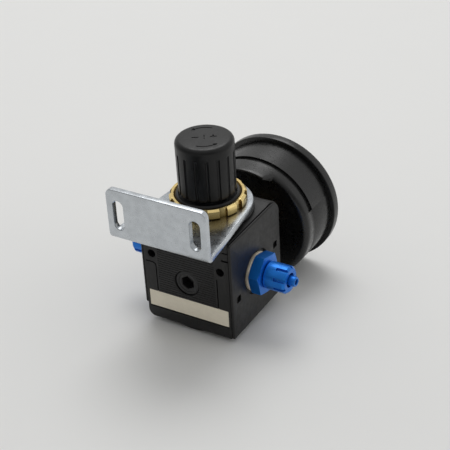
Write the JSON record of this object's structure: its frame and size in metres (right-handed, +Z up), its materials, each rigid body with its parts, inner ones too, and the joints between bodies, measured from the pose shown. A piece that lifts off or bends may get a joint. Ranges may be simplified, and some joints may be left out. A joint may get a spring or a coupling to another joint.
{
  "type": "air pressure regulator",
  "caption": "Compact air pressure regulator with a push-to-lock knob, an angle bracket, a rear-entry gauge on one face and screwed tube fittings on both sides.",
  "frame": {"origin": "centre of the bottom cap's flat underside, on the knob's axis", "axes": "+Z up along the knob's axis, -Y out of the gauge's dial, +Y out of the bracket's wall face, air flows from -X to +X"},
  "size_m": [0.0744, 0.0909, 0.0823],
  "materials": {
    "body_metal": "black painted casting, fine grain",
    "cover_plastic": "moulded, fine spark-eroded texture",
    "label_paper": "blank cream label film",
    "knob_plastic": "moulded, satin",
    "zinc_steel": "bright zinc plate",
    "steel": "bright machined steel",
    "spring_steel": "drawn wire",
    "brass": "turned brass",
    "blue_aluminium": "blue anodised, turned",
    "fibre_washer": "pressed sealing ring",
    "rubber": "moulded nitrile rubber",
    "copper": "annealed copper washer",
    "gauge_black": "moulded, satin black",
    "window": "clear moulded window",
    "dial_white": "white enamel",
    "pointer_black": "black enamel"
  },
  "bodies": {
    "root": {"body": "body_metal", "front_cover": "cover_plastic", "rear_cover": "cover_plastic", "label_strip": "label_paper", "inlet_side_plate": "cover_plastic", "outlet_side_plate": "cover_plastic", "base_cap": "cover_plastic", "base_o_ring": "rubber", "valve_spring": "spring_steel", "diaphragm": "rubber", "main_spring": "spring_steel", "bonnet": "knob_plastic", "ring_nut": "brass", "bracket": "zinc_steel", "rear_port_plug": "steel", "rear_plug_seal": "rubber", "inlet_fitting": "blue_aluminium", "inlet_washer": "fibre_washer", "outlet_fitting": "blue_aluminium", "outlet_washer": "fibre_washer", "gauge_socket": "brass", "gauge_washer": "copper", "gauge_case": "gauge_black", "gauge_bezel": "gauge_black", "gauge_window": "window", "gauge_seal": "rubber", "gauge_dial": "dial_white", "movement_frame": "brass", "bourdon_tube": "brass", "hairspring": "spring_steel", "dial_screws": "steel"},
    "spindle": {"spindle": "steel", "retaining_clip": "spring_steel"},
    "knob": {"knob": "knob_plastic"},
    "spring_plate": {"spring_plate": "steel"},
    "poppet": {"valve_poppet": "brass", "valve_seal": "rubber"},
    "diaphragm_centre": {"diaphragm_plate": "steel", "relief_seat": "brass", "centre_nut": "steel"},
    "pointer": {"gauge_pointer": "pointer_black", "pinion_shaft": "brass"},
    "sector": {"sector_gear": "brass"},
    "link": {"tip_link": "steel"},
    "inlet_nut": {"inlet_union_nut": "blue_aluminium"},
    "outlet_nut": {"outlet_union_nut": "blue_aluminium"}
  },
  "joints": [
    {"name": "knob_turn", "type": "hinge", "parent": "root", "child": "spindle", "pos_m": [0, 0, 0.05], "axis": [0, 0, 1], "range_deg": [-1440, 0]},
    {"name": "knob_lift", "type": "slide", "parent": "spindle", "child": "knob", "axis": [0, 0, 1], "range_m": [0, 0.0025]},
    {"name": "spring_plate_travel", "type": "slide", "parent": "root", "child": "spring_plate", "axis": [0, 0, 1], "range_m": [-0.004, 0], "deforming": ["main_spring"]},
    {"name": "valve_travel", "type": "slide", "parent": "root", "child": "poppet", "axis": [0, 0, 1], "range_m": [-0.0012, 0], "stiffness_N_per_m": 500, "springref_m": 0.002, "deforming": ["valve_spring"]},
    {"name": "relief_lift", "type": "slide", "parent": "poppet", "child": "diaphragm_centre", "axis": [0, 0, 1], "range_m": [0, 0.0008], "stiffness_N_per_m": 1000, "springref_m": -0.001, "deforming": ["diaphragm"]},
    {"name": "sector_swing", "type": "hinge", "parent": "root", "child": "sector", "pos_m": [0, -0.042, 0.0112], "axis": [0, 1, 0], "range_deg": [-38.57, 0], "stiffness_Nm_per_rad": 0.002, "springref_deg": 8.59},
    {"name": "pointer_spin", "type": "hinge", "parent": "root", "child": "pointer", "pos_m": [0, -0.042, 0.0224], "axis": [0, 1, 0], "range_deg": [0, 270]},
    {"name": "link_swing", "type": "hinge", "parent": "sector", "child": "link", "pos_m": [0.00492, -0.042, 0.01033], "axis": [0, 1, 0], "range_deg": [0, 39]},
    {"name": "inlet_nut_turn", "type": "hinge", "parent": "root", "child": "inlet_nut", "pos_m": [-0.03, 0, 0.0224], "axis": [-1, 0, 0], "continuous": true},
    {"name": "outlet_nut_turn", "type": "hinge", "parent": "root", "child": "outlet_nut", "pos_m": [0.03, 0, 0.0224], "axis": [1, 0, 0], "continuous": true}
  ],
  "couplings": [
    {"joint": "spring_plate_travel", "follows": "knob_turn", "m_per_rad": 0.00015915},
    {"joint": "pointer_spin", "follows": "sector_swing", "ratio": -7},
    {"joint": "link_swing", "follows": "sector_swing", "ratio": -1}
  ]
}
